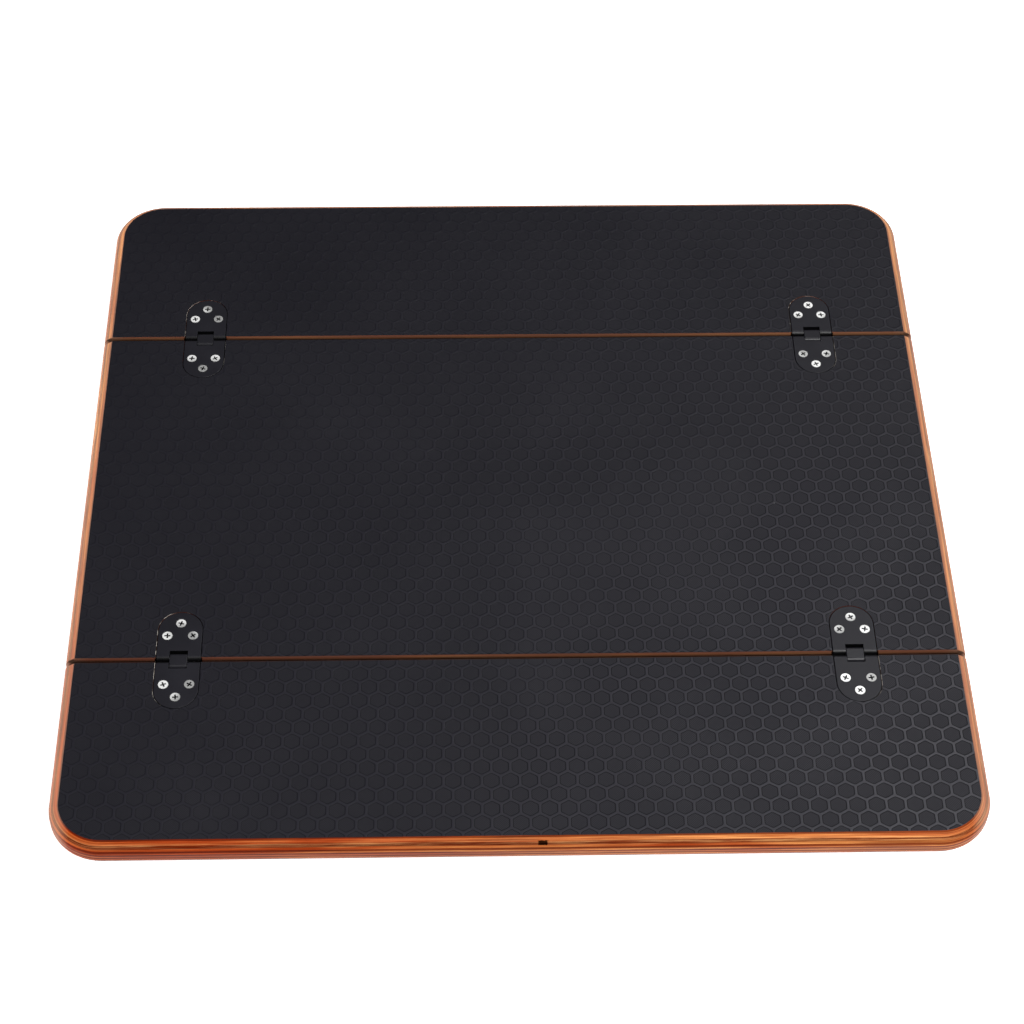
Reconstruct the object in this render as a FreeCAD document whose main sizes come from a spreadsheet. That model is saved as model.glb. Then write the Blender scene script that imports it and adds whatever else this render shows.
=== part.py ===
import FreeCAD
import Part
import Sketcher
import math
import os

# A three-panel exercise board of film-faced plywood that folds up on flush flap hinges.
#
# Frame: +Z up, X along the creases, -Y towards the user. The origin is the centre of the
# underside with the board open flat. Lengths are in millimetres and angles in degrees.
#
# Each panel is a plywood core with a thin film on its top and its underside. A hinge lies across
# a crease: two leaves let into the top face, a link between them in a slot, and a pin through
# each end of the link. Both outer panels fold up and over, face to face with the middle panel.

from FreeCAD import Placement, Rotation, Vector

DRIVING_SIZES = {
    # the board, open flat
    "board_width": 614,
    "board_thickness": 18,
    "crease_pitch": 300,
    "flap_reach": 149,
    "crease_gap": 1,
    "corner_radius": 37,
    "rim_inset": 7,
    "rim_slope": 30,
    "shoulder_radius": 7,
    "bottom_rounding": 5,
    "crease_chamfer": 1.6,
    "film_thickness": 0.3,
    # the hinges
    "hinge_offset": 230,
    "hinge_length": 80,
    "hinge_width": 30,
    "leaf_thickness": 3,
    "leaf_edge_rounding": 0.3,
    "knuckle_depth": 6,
    "knuckle_reach": 9,
    "mortise_clearance": 0.5,
    "pin_spacing": 7,
    "pin_depth": 2.75,
    "pin_diameter": 2.5,
    "pin_length": 29,
    "pin_chamfer": 0.25,
    "running_clearance": 0.04,
    "link_width": 12,
    "link_end_radius": 2.4,
    "link_edge_rounding": 0.4,
    "slot_width": 12.5,
    "slot_reach": 7.5,
    # the screws
    "screw_pair_spacing": 17.5,
    "screw_pair_reach": 20.4,
    "screw_end_reach": 30.8,
    "screw_length": 14,
    "screw_sink": 0.15,
    "head_diameter": 7,
    "head_rim": 0.25,
    "shank_diameter": 2.9,
    "thread_diameter": 3.5,
    "core_diameter": 2.3,
    "thread_pitch": 1.35,
    "thread_turns": 6,
    "thread_start": 4.2,
    "recess_span": 4,
    "recess_slot": 1,
    "recess_depth": 1.7,
    "recess_taper": 12,
    "leaf_hole_diameter": 3.9,
    "countersink_angle": 90,
}

SCREW_TURN_STEP = 37  # degrees from one screw's cross recess to the next, so none line up
TOLERANCE = 1e-4

document = FreeCAD.newDocument("folding_board")
sheet = document.addObject("Spreadsheet::Sheet", "sizes")


# ---------------------------------------------------------------- sizes and sketches

def fill_sheet():
    """Write each driving size in a row: its name, then its value under that alias."""
    for row, (alias, value) in enumerate(DRIVING_SIZES.items(), start=1):
        sheet.set(f"A{row}", alias)
        sheet.set(f"B{row}", str(value))
        sheet.setAlias(f"B{row}", alias)
    document.recompute()


def size(expression):
    """The value of an expression such as "sizes.board_width / 2"."""
    return float(sheet.evalExpression(expression))


def new_body(label):
    """An empty body whose name and label are the piece's own."""
    body = document.addObject("PartDesign::Body", label)
    body.Label = label
    return body


def add_sketch(body, name, plane="XY_Plane", height="0"):
    """A sketch on one of the body's own origin planes, raised by the expression height."""
    support = next(item for item in body.Origin.OriginFeatures if item.Role == plane)
    sketch = body.newObject("Sketcher::SketchObject", name)
    sketch.AttachmentSupport = [(support, "")]
    sketch.MapMode = "FlatFace"
    sketch.setExpression("AttachmentOffset.Base.z", height)
    return sketch


def constrain(sketch, kind, *where, to):
    """A dimension held to an expression."""
    index = sketch.addConstraint(Sketcher.Constraint(kind, *where, size(to)))
    sketch.setExpression(f"Constraints[{index}]", to)


def place_point(sketch, geometry, point, x, y):
    """Hold a point at signed distances from the sketch's origin."""
    constrain(sketch, "DistanceX", -1, 1, geometry, point, to=x)
    constrain(sketch, "DistanceY", -1, 1, geometry, point, to=y)


def add_outline(sketch, corners):
    """A closed outline of straight lines through corners, each an (x, y) pair of expressions."""
    points = [Vector(size(x), size(y), 0) for x, y in corners]
    first = sketch.GeometryCount
    count = len(points)
    for index in range(count):
        sketch.addGeometry(Part.LineSegment(points[index], points[(index + 1) % count]))
    for index, (x, y) in enumerate(corners):
        following = first + (index + 1) % count
        sketch.addConstraint(Sketcher.Constraint("Coincident", first + index, 2, following, 1))
        place_point(sketch, first + index, 1, x, y)


def add_rectangle(sketch, half_width, near, far):
    """A rectangle centred on the Y axis, from near to far."""
    left = f"-({half_width})"
    add_outline(sketch, [(left, near), (half_width, near), (half_width, far), (left, far)])


def add_circle(sketch, x, y, diameter):
    """A circle with its centre held at (x, y)."""
    centre = Vector(size(x), size(y), 0)
    index = sketch.addGeometry(Part.Circle(centre, Vector(0, 0, 1), size(diameter) / 2))
    place_point(sketch, index, 3, x, y)
    constrain(sketch, "Diameter", index, to=diameter)


def add_arc(sketch, x, y, radius, start, end):
    """An arc about (x, y), anticlockwise from start to end in degrees."""
    circle = Part.Circle(Vector(size(x), size(y), 0), Vector(0, 0, 1), size(radius))
    arc = Part.ArcOfCircle(circle, math.radians(start), math.radians(end))
    return sketch.addGeometry(arc)


def add_stadium(sketch, x, y, length, width):
    """A slot outline along Y with round ends, centred at (x, y)."""
    middle = Vector(size(x), size(y), 0)
    radius = f"({width}) / 2"
    reach = f"({length} - {width}) / 2"
    far_y = f"{y} + {reach}"
    near_y = f"{y} - {reach}"
    side = Vector(size(radius), 0, 0)
    along = Vector(0, size(reach), 0)
    far_arc = add_arc(sketch, x, far_y, radius, 0, 180)
    near_arc = add_arc(sketch, x, near_y, radius, 180, 360)
    right = sketch.addGeometry(Part.LineSegment(middle + side - along, middle + side + along))
    left = sketch.addGeometry(Part.LineSegment(middle - side + along, middle - side - along))
    joins = [(right, 2, far_arc, 1), (far_arc, 2, left, 1),
             (left, 2, near_arc, 1), (near_arc, 2, right, 1)]
    for join in joins:
        sketch.addConstraint(Sketcher.Constraint("Tangent", *join))
    sketch.addConstraint(Sketcher.Constraint("Equal", far_arc, near_arc))
    place_point(sketch, far_arc, 3, x, far_y)
    place_point(sketch, near_arc, 3, x, near_y)
    constrain(sketch, "Radius", far_arc, to=radius)


def add_tongue(sketch, width, near, far):
    """A strip along +Y, centred on the Y axis, square at near and fully round at far."""
    radius = f"{width} / 2"
    centre_y = f"{far} - {radius}"
    half, start, middle = size(radius), size(near), size(centre_y)
    arc = add_arc(sketch, "0", centre_y, radius, 0, 180)
    right = sketch.addGeometry(Part.LineSegment(Vector(half, start, 0), Vector(half, middle, 0)))
    left = sketch.addGeometry(Part.LineSegment(Vector(-half, middle, 0), Vector(-half, start, 0)))
    base = sketch.addGeometry(Part.LineSegment(Vector(-half, start, 0), Vector(half, start, 0)))
    sketch.addConstraint(Sketcher.Constraint("Tangent", right, 2, arc, 1))
    sketch.addConstraint(Sketcher.Constraint("Tangent", arc, 2, left, 1))
    sketch.addConstraint(Sketcher.Constraint("Coincident", left, 2, base, 1))
    sketch.addConstraint(Sketcher.Constraint("Coincident", base, 2, right, 1))
    place_point(sketch, arc, 3, "0", centre_y)
    place_point(sketch, base, 1, f"-{radius}", near)
    place_point(sketch, base, 2, radius, near)


# ---------------------------------------------------------------- features

def add_pad(body, sketch, length, reversed_side=False, symmetric=False):
    """Raise a sketch into a solid."""
    pad = body.newObject("PartDesign::Pad", f"{sketch.Name}_pad")
    pad.Profile = sketch
    pad.SideType = "Symmetric" if symmetric else "One side"
    pad.Reversed = reversed_side
    pad.setExpression("Length", length)
    document.recompute()
    return pad


def add_pocket(body, sketch, depth, symmetric=False, taper=None):
    """Cut a sketch into the solid, against its normal, and make sure that it removed something."""
    before = body.Shape.Volume
    pocket = body.newObject("PartDesign::Pocket", f"{sketch.Name}_pocket")
    pocket.Profile = sketch
    pocket.SideType = "Symmetric" if symmetric else "One side"
    pocket.setExpression("Length", depth)
    if taper:
        pocket.setExpression("TaperAngle", taper)
    document.recompute()
    if body.Shape.Volume > before - TOLERANCE:
        raise RuntimeError(f"{pocket.Name} cuts nothing")
    return pocket


def add_revolution(body, sketch):
    """Turn a sketch all the way round the sketch's own Y axis."""
    revolution = body.newObject("PartDesign::Revolution", f"{sketch.Name}_turned")
    revolution.Profile = sketch
    revolution.ReferenceAxis = (sketch, ["V_Axis"])
    revolution.Angle = 360
    document.recompute()
    return revolution


def edges_where(body, test):
    """The names of the body's edges whose bounding boxes pass a test."""
    edges = enumerate(body.Shape.Edges, start=1)
    return [f"Edge{number}" for number, edge in edges if test(edge.BoundBox)]


def add_edge_feature(body, kind, name, test, amount):
    """A fillet or a chamfer of the edges that pass a test."""
    names = edges_where(body, test)
    if not names:
        raise RuntimeError(f"{name} finds no edge")
    base = body.Tip
    feature = body.newObject(f"PartDesign::{kind}", name)
    feature.Base = (base, names)
    feature.setExpression("Radius" if kind == "Fillet" else "Size", amount)
    document.recompute()
    return feature


def add_bevel(body, name, test, inset, slope):
    """A bevel that starts inset from the edge on the top face and falls away at a slope."""
    bevel = add_edge_feature(body, "Chamfer", name, test, inset)
    bevel.ChamferType = "Distance and Angle"
    bevel.setExpression("Angle", slope)
    # measured along the top face, not down the side
    bevel.FlipDirection = True
    document.recompute()
    return bevel


def near_to(value, target):
    return abs(value - target) < TOLERANCE


def flat_at(box, z):
    """True for an edge that lies in the plane at height z."""
    return near_to(box.ZMin, z) and near_to(box.ZMax, z)


def place(piece, x="0", y="0", z="0", turned=0):
    """Stand a piece at expressions for x, y and z, turned about Z by an angle in degrees."""
    piece.Placement = Placement(Vector(0, 0, 0), Rotation(Vector(0, 0, 1), turned))
    piece.setExpression("Placement.Base.x", x)
    piece.setExpression("Placement.Base.y", y)
    piece.setExpression("Placement.Base.z", z)
    return piece


# ---------------------------------------------------------------- layout

HALF_WIDTH = "sizes.board_width / 2"
HALF_GAP = "sizes.crease_gap / 2"
HALF_PITCH = "sizes.crease_pitch / 2"
HINGE_SIDES = {"left": "-sizes.hinge_offset", "right": "sizes.hinge_offset"}
# A panel's own frame has its crease line on the X axis and reaches out along +Y, and the middle
# panel's has the board's centre at its origin. Each crease is then at one of these heights in Y.
FLAP_CREASES = ["0"]
MIDDLE_CREASES = [f"-{HALF_PITCH}", HALF_PITCH]
# A flap or a leaf is turned about Z so that its +Y points away from the middle of the board.
CREASES = {"front": (f"-{HALF_PITCH}", 180), "back": (HALF_PITCH, 0)}

CORE_TOP = "(sizes.board_thickness - sizes.film_thickness)"
BEVEL_FOOT = f"({CORE_TOP} - sizes.rim_inset * tan(sizes.rim_slope * 1 deg))"
MORTISE_LENGTH = "(sizes.hinge_length + 2 * sizes.mortise_clearance)"
MORTISE_WIDTH = "(sizes.hinge_width + 2 * sizes.mortise_clearance)"
KNUCKLE_REACH = "(sizes.knuckle_reach + sizes.mortise_clearance)"
HALF_PAIR = "sizes.screw_pair_spacing / 2"


def hinge_centres(creases):
    """The (x, y) expressions of every hinge centre along the creases given."""
    return [(x, y) for y in creases for x in HINGE_SIDES.values()]


def screw_centres(x, crease_y, sides):
    """Where the screws of a hinge at (x, crease_y) stand, on each side of the crease asked for."""
    centres = []
    for side in sides:
        pair_y = f"{crease_y} + {side} * sizes.screw_pair_reach"
        end_y = f"{crease_y} + {side} * sizes.screw_end_reach"
        centres += [(f"{x} - {HALF_PAIR}", pair_y), (f"{x} + {HALF_PAIR}", pair_y), (x, end_y)]
    return centres


def inward_side(crease_y):
    """The direction in Y from a crease towards the body of its own panel."""
    return -1 if size(crease_y) > 0 else 1


# ---------------------------------------------------------------- panels

def cut_mortises(body, creases, top, whole_depth):
    """Let the hinges into the top of a panel: through a film, or to two depths in the plywood."""
    mortises = add_sketch(body, f"{body.Name}_mortises", height=top)
    for x, y in hinge_centres(creases):
        add_stadium(mortises, x, y, MORTISE_LENGTH, MORTISE_WIDTH)
    add_pocket(body, mortises, whole_depth)


def cut_knuckle_recesses(body, creases):
    """The deeper part of each mortise, either side of the crease, that the knuckles sit in."""
    half = f"{MORTISE_WIDTH} / 2"
    recesses = add_sketch(body, f"{body.Name}_knuckle_recesses", height=CORE_TOP)
    for x, y in hinge_centres(creases):
        near, far = f"{y} - {KNUCKLE_REACH}", f"{y} + {KNUCKLE_REACH}"
        add_outline(recesses, [(f"{x} - {half}", near), (f"{x} + {half}", near),
                               (f"{x} + {half}", far), (f"{x} - {half}", far)])
    depth = "sizes.knuckle_depth + sizes.mortise_clearance - sizes.film_thickness"
    add_pocket(body, recesses, depth)


def drill_screw_holes(body, creases):
    """Round holes in the plywood, as wide as the thread and as deep as the screws."""
    holes = add_sketch(body, f"{body.Name}_screw_holes", height=CORE_TOP)
    for x, crease_y in hinge_centres(creases):
        for screw_x, screw_y in screw_centres(x, crease_y, [inward_side(crease_y)]):
            add_circle(holes, screw_x, screw_y, "sizes.thread_diameter")
    add_pocket(body, holes, "sizes.screw_length + sizes.screw_sink - sizes.film_thickness")


def add_flap_slab(body, half_width, near, far, base, thickness, corner):
    """A slab with a straight crease edge at near and two round corners at far."""
    outline = add_sketch(body, f"{body.Name}_outline", height=base)
    add_rectangle(outline, half_width, near, far)
    add_pad(body, outline, thickness)
    far_y = size(far)
    add_edge_feature(body, "Fillet", f"{body.Name}_corners",
                     lambda box: near_to(box.YMin, far_y) and near_to(box.YMax, far_y)
                     and near_to(box.XMin, box.XMax), corner)


def add_middle_slab(body, half_width, half_depth, base, thickness):
    """A plain slab with a crease edge along the front and along the back."""
    outline = add_sketch(body, f"{body.Name}_outline", height=base)
    add_rectangle(outline, half_width, f"-({half_depth})", half_depth)
    add_pad(body, outline, thickness)


def round_and_ease(body, crease_lines):
    """Bevel and round the rims of a core, then ease the edges of its crease faces.

    Around the top a shallow bevel ends in a shoulder that turns down into the side.
    """
    def on_crease(box):
        return near_to(box.YMin, box.YMax) and any(near_to(box.YMin, y) for y in crease_lines)

    def rim_at(z):
        return lambda box: flat_at(box, size(z)) and not on_crease(box)

    add_bevel(body, f"{body.Name}_top_bevel", rim_at(CORE_TOP), "sizes.rim_inset",
              "sizes.rim_slope")
    add_edge_feature(body, "Fillet", f"{body.Name}_shoulder", rim_at(BEVEL_FOOT),
                     "sizes.shoulder_radius")
    add_edge_feature(body, "Fillet", f"{body.Name}_bottom_rim", rim_at("sizes.film_thickness"),
                     "sizes.bottom_rounding")
    add_edge_feature(body, "Chamfer", f"{body.Name}_eased_crease", on_crease,
                     "sizes.crease_chamfer")


def make_flap_core(label, crease_y, turned):
    """The plywood of an outer panel."""
    body = new_body(label)
    core_thickness = "sizes.board_thickness - 2 * sizes.film_thickness"
    add_flap_slab(body, HALF_WIDTH, HALF_GAP, "sizes.flap_reach", "sizes.film_thickness",
                  core_thickness, "sizes.corner_radius")
    round_and_ease(body, [size(HALF_GAP)])
    cut_mortises(body, FLAP_CREASES, CORE_TOP, "sizes.leaf_thickness - sizes.film_thickness")
    cut_knuckle_recesses(body, FLAP_CREASES)
    drill_screw_holes(body, FLAP_CREASES)
    return place(body, y=crease_y, turned=turned)


def make_middle_core(label):
    """The plywood of the middle panel."""
    body = new_body(label)
    half_depth = f"{HALF_PITCH} - {HALF_GAP}"
    core_thickness = "sizes.board_thickness - 2 * sizes.film_thickness"
    add_middle_slab(body, HALF_WIDTH, half_depth, "sizes.film_thickness", core_thickness)
    round_and_ease(body, [-size(half_depth), size(half_depth)])
    cut_mortises(body, MIDDLE_CREASES, CORE_TOP, "sizes.leaf_thickness - sizes.film_thickness")
    cut_knuckle_recesses(body, MIDDLE_CREASES)
    drill_screw_holes(body, MIDDLE_CREASES)
    return place(body)


def make_flap_film(label, crease_y, turned, base, inset, with_mortises):
    """The film on one face of an outer panel, inset from the rounded rim."""
    body = new_body(label)
    add_flap_slab(body, f"{HALF_WIDTH} - {inset}", f"{HALF_GAP} + sizes.crease_chamfer",
                  f"sizes.flap_reach - {inset}", base, "sizes.film_thickness",
                  f"sizes.corner_radius - {inset}")
    if with_mortises:
        cut_mortises(body, FLAP_CREASES, "sizes.board_thickness", "sizes.film_thickness")
    return place(body, y=crease_y, turned=turned)


def make_middle_film(label, base, inset, with_mortises):
    """The film on one face of the middle panel."""
    body = new_body(label)
    half_depth = f"{HALF_PITCH} - {HALF_GAP} - sizes.crease_chamfer"
    add_middle_slab(body, f"{HALF_WIDTH} - {inset}", half_depth, base, "sizes.film_thickness")
    if with_mortises:
        cut_mortises(body, MIDDLE_CREASES, "sizes.board_thickness", "sizes.film_thickness")
    return place(body)


def make_panels():
    """Three plywood cores with a film on each face."""
    faces = {"top": (CORE_TOP, "sizes.rim_inset", True),
             "bottom": ("0", "sizes.bottom_rounding", False)}
    pieces = [make_middle_core("middle_panel_plywood")]
    for face, (base, inset, with_mortises) in faces.items():
        pieces.append(make_middle_film(f"middle_panel_{face}_film", base, inset, with_mortises))
    for crease, (crease_y, turned) in CREASES.items():
        pieces.append(make_flap_core(f"{crease}_panel_plywood", crease_y, turned))
        for face, (base, inset, with_mortises) in faces.items():
            label = f"{crease}_panel_{face}_film"
            pieces.append(make_flap_film(label, crease_y, turned, base, inset, with_mortises))
    return pieces


# ---------------------------------------------------------------- hinges

def cut_screw_countersinks(body):
    """Three countersunk clearance holes down through a leaf."""
    sketch = add_sketch(body, f"{body.Name}_screw_holes")
    for x, y in screw_centres("0", "0", [1]):
        add_circle(sketch, x, y, "sizes.leaf_hole_diameter")
    before = body.Shape.Volume
    hole = body.newObject("PartDesign::Hole", f"{body.Name}_countersinks")
    hole.Profile = sketch
    document.recompute()
    hole.DepthType = "ThroughAll"
    hole.setExpression("Diameter", "sizes.leaf_hole_diameter")
    hole.HoleCutType = "Countersink"
    hole.HoleCutCustomValues = True
    rim_depth = "(sizes.screw_sink + sizes.head_rim)"
    hole.setExpression("HoleCutDiameter", f"sizes.head_diameter + 2 * {rim_depth}")
    hole.setExpression("HoleCutCountersinkAngle", "sizes.countersink_angle")
    document.recompute()
    if body.Shape.Volume > before - TOLERANCE:
        raise RuntimeError(f"{hole.Name} cuts nothing")


def make_leaf(label, x, crease_y, turned):
    """A leaf in its own frame: crease on the X axis, top face at z = 0, reaching along +Y.

    Its crease edge is a knuckle, rounded about the pin's axis up to the top face.
    """
    body = new_body(label)
    near = "(sizes.pin_spacing / 2 - sizes.pin_depth)"
    plate = add_sketch(body, f"{label}_plate")
    add_tongue(plate, "sizes.hinge_width", near, "sizes.hinge_length / 2")
    add_pad(body, plate, "sizes.leaf_thickness", reversed_side=True)
    knuckle = add_sketch(body, f"{label}_knuckle")
    add_rectangle(knuckle, "sizes.hinge_width / 2", near, "sizes.knuckle_reach")
    add_pad(body, knuckle, "sizes.knuckle_depth", reversed_side=True)

    near_y = size(near)
    add_edge_feature(body, "Fillet", f"{label}_knuckle_edges",
                     lambda box: near_to(box.YMax, near_y) and near_to(box.ZMin, box.ZMax),
                     "sizes.pin_depth")
    add_edge_feature(body, "Fillet", f"{label}_top_edge",
                     lambda box: flat_at(box, 0) and box.YMax > size("sizes.knuckle_reach"),
                     "sizes.leaf_edge_rounding")

    slot = add_sketch(body, f"{label}_slot")
    add_rectangle(slot, "sizes.slot_width / 2", "0", "sizes.slot_reach")
    add_pocket(body, slot, "sizes.knuckle_depth")
    pin_hole = add_sketch(body, f"{label}_pin_hole", plane="YZ_Plane")
    add_circle(pin_hole, "sizes.pin_spacing / 2", "-sizes.pin_depth", "sizes.pin_diameter")
    add_pocket(body, pin_hole, "sizes.hinge_width", symmetric=True)
    cut_screw_countersinks(body)
    return place(body, x=x, y=crease_y, z="sizes.board_thickness", turned=turned)


def make_link(label, x, crease_y):
    """The link of a hinge: a bar with round ends and a running hole for a pin in each."""
    body = new_body(label)
    profile = add_sketch(body, f"{label}_profile", plane="YZ_Plane")
    add_link_profile(profile)
    add_pad(body, profile, "sizes.link_width", symmetric=True)
    end_x = size("sizes.link_width / 2")
    add_edge_feature(body, "Fillet", f"{label}_edges",
                     lambda box: near_to(box.XMin, box.XMax) and near_to(abs(box.XMin), end_x),
                     "sizes.link_edge_rounding")
    holes = add_sketch(body, f"{label}_pin_holes", plane="YZ_Plane")
    for side in (-1, 1):
        add_circle(holes, f"{side} * sizes.pin_spacing / 2", "0",
                   "sizes.pin_diameter + 2 * sizes.running_clearance")
    add_pocket(body, holes, "sizes.link_width", symmetric=True)
    return place(body, x=x, y=crease_y, z="sizes.board_thickness - sizes.pin_depth")


def add_link_profile(sketch):
    """Two round ends about the pins, joined by flat sides, in the plane across the crease."""
    radius = "sizes.link_end_radius"
    reach = "sizes.pin_spacing / 2"
    half, rise = size(reach), size(radius)
    far = add_arc(sketch, reach, "0", radius, -90, 90)
    near = add_arc(sketch, f"-{reach}", "0", radius, 90, 270)
    top = sketch.addGeometry(Part.LineSegment(Vector(half, rise, 0), Vector(-half, rise, 0)))
    bottom = sketch.addGeometry(Part.LineSegment(Vector(-half, -rise, 0), Vector(half, -rise, 0)))
    for join in [(far, 2, top, 1), (top, 2, near, 1), (near, 2, bottom, 1), (bottom, 2, far, 1)]:
        sketch.addConstraint(Sketcher.Constraint("Tangent", *join))
    sketch.addConstraint(Sketcher.Constraint("Equal", far, near))
    place_point(sketch, far, 3, reach, "0")
    place_point(sketch, near, 3, f"-{reach}", "0")
    constrain(sketch, "Radius", far, to=radius)


def make_pin(label, x, pin_y):
    """A plain pin along X with eased ends."""
    body = new_body(label)
    profile = add_sketch(body, f"{label}_profile", plane="YZ_Plane")
    add_circle(profile, "0", "0", "sizes.pin_diameter")
    add_pad(body, profile, "sizes.pin_length", symmetric=True)
    add_edge_feature(body, "Chamfer", f"{label}_ends",
                     lambda box: near_to(box.XMin, box.XMax), "sizes.pin_chamfer")
    return place(body, x=x, y=pin_y, z="sizes.board_thickness - sizes.pin_depth")


# ---------------------------------------------------------------- screws

def make_screw():
    """One countersunk wood screw, its head's top face at z = 0 and its point down."""
    body = new_body("wood_screw")
    head = "sizes.head_diameter / 2"
    shank = "sizes.shank_diameter / 2"
    core = "sizes.core_diameter / 2"
    profile = add_sketch(body, "screw_profile", plane="XZ_Plane")
    add_outline(profile, [
        ("0", "0"),
        (head, "0"),
        (head, "-sizes.head_rim"),
        (shank, f"-sizes.head_rim - {head} + {shank}"),
        (shank, "-sizes.thread_start + sizes.thread_pitch / 2"),
        (core, "-sizes.thread_start"),
        (core, "-sizes.screw_length + sizes.core_diameter"),
        ("0", "-sizes.screw_length"),
    ])
    add_revolution(body, profile)

    ridge = add_sketch(body, "thread_ridge", plane="XZ_Plane")
    crest = "sizes.thread_diameter / 2"
    half_ridge = f"({crest} - {core}) / 2"
    ridge_z = "-sizes.thread_start - sizes.thread_pitch / 2"
    add_outline(ridge, [
        ("0", f"{ridge_z} + {half_ridge}"),
        (core, f"{ridge_z} + {half_ridge}"),
        (crest, ridge_z),
        (core, f"{ridge_z} - {half_ridge}"),
        ("0", f"{ridge_z} - {half_ridge}"),
    ])
    turned_ridge = add_revolution(body, ridge)
    thread = body.newObject("PartDesign::LinearPattern", "thread")
    thread.Originals = [turned_ridge]
    thread.Direction = (profile, ["V_Axis"])
    thread.Reversed = True
    thread.Mode = "Spacing"
    thread.setExpression("Offset", "sizes.thread_pitch")
    thread.setExpression("Occurrences", "sizes.thread_turns")
    body.Tip = thread
    document.recompute()

    recess = add_sketch(body, "cross_recess")
    arm = "sizes.recess_span / 2"
    slot = "sizes.recess_slot / 2"
    add_outline(recess, [
        (arm, f"-{slot}"), (arm, slot), (slot, slot), (slot, arm),
        (f"-{slot}", arm), (f"-{slot}", slot), (f"-{arm}", slot), (f"-{arm}", f"-{slot}"),
        (f"-{slot}", f"-{slot}"), (f"-{slot}", f"-{arm}"), (slot, f"-{arm}"), (slot, f"-{slot}"),
    ])
    add_pocket(body, recess, "sizes.recess_depth", taper="-sizes.recess_taper")
    return body


def make_screw_group(label, screw, centres, first_turn):
    """The screws of one leaf, as links to the one screw, each turned a little further."""
    group = document.addObject("Part::Compound", label)
    group.Label = label
    links = []
    for number, (x, y) in enumerate(centres):
        link = document.addObject("App::Link", f"{label}_{number + 1}")
        link.LinkedObject = screw
        turn = (first_turn + number) * SCREW_TURN_STEP
        links.append(place(link, x=x, y=y, z="sizes.board_thickness - sizes.screw_sink",
                           turned=turn))
    group.Links = links
    document.recompute()
    return group


def make_hinges():
    """Four hinges: at each crease, one towards each side of the board."""
    screw = make_screw()
    pieces = []
    turn = 0
    for crease, (crease_y, turned) in CREASES.items():
        outward = 1 if turned == 0 else -1
        for side, x in HINGE_SIDES.items():
            hinge = f"{crease}_{side}_hinge"
            pieces.append(make_link(f"{hinge}_link", x, crease_y))
            # the inner leaf is on the middle panel and the outer leaf on the flap
            for leaf, direction in (("inner", -outward), ("outer", outward)):
                leaf_turn = 0 if direction > 0 else 180
                pin_y = f"{crease_y} + {direction} * sizes.pin_spacing / 2"
                centres = screw_centres(x, crease_y, [direction])
                pieces.append(make_leaf(f"{hinge}_{leaf}_leaf", x, crease_y, leaf_turn))
                pieces.append(make_pin(f"{hinge}_{leaf}_pin", x, pin_y))
                pieces.append(make_screw_group(f"{hinge}_{leaf}_screws", screw, centres, turn))
                turn += len(centres)
    return pieces


# ---------------------------------------------------------------- check and write

def check_document(pieces):
    """Stop if any object failed to compute or any piece is not a valid solid."""
    failed = [item.Name for item in document.Objects
              if "Invalid" in item.State or "Error" in item.State]
    if failed:
        raise RuntimeError(f"failed to compute: {failed}")
    for piece in pieces:
        shape = piece.Shape
        if shape.isNull() or not shape.isValid() or not shape.Solids:
            raise RuntimeError(f"{piece.Label} is not a valid solid")


def write_pieces(pieces):
    """One STEP file for each piece, named after its label."""
    os.makedirs("parts", exist_ok=True)
    for piece in pieces:
        piece.Shape.exportStep(f"parts/{piece.Label}.step")


fill_sheet()
all_pieces = make_panels() + make_hinges()
document.recompute()
check_document(all_pieces)
write_pieces(all_pieces)
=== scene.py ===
import math

import bmesh
import bpy
from mathutils import Matrix, Vector


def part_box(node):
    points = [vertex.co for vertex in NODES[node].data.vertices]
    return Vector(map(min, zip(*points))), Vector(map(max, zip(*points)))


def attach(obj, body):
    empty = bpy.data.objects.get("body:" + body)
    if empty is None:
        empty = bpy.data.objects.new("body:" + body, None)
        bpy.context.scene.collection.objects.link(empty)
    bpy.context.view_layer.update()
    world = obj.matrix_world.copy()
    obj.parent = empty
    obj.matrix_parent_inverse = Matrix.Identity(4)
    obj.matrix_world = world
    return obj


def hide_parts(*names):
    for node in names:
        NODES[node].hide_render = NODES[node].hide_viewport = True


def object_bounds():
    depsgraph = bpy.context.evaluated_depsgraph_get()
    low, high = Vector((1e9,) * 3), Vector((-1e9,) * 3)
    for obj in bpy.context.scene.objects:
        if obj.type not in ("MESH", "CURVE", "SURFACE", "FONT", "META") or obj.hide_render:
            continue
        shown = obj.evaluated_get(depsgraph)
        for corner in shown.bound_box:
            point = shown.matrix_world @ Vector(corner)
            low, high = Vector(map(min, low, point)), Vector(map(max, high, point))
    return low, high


# The looks of a folding three-panel board: film embossed with hexagons, stained plywood edges,
# dark flap hinges and bright screws. Every size is in metres, in the frame's own coordinates.

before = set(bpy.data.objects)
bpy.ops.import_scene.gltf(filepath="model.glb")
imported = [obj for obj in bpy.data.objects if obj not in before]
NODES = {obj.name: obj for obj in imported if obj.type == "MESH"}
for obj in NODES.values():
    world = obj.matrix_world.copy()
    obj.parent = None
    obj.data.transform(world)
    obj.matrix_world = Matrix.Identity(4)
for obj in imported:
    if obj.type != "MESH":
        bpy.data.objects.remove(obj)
cad_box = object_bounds()

MM = 0.001
PANELS = ("front", "middle", "back")

BOARD_TOP = cad_box[1].z
FILM_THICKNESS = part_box("middle_panel_bottom_film")[1].z
CORE_TOP = BOARD_TOP - FILM_THICKNESS
SCREW_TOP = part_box("front_left_hinge_inner_screws")[1].z

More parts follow.
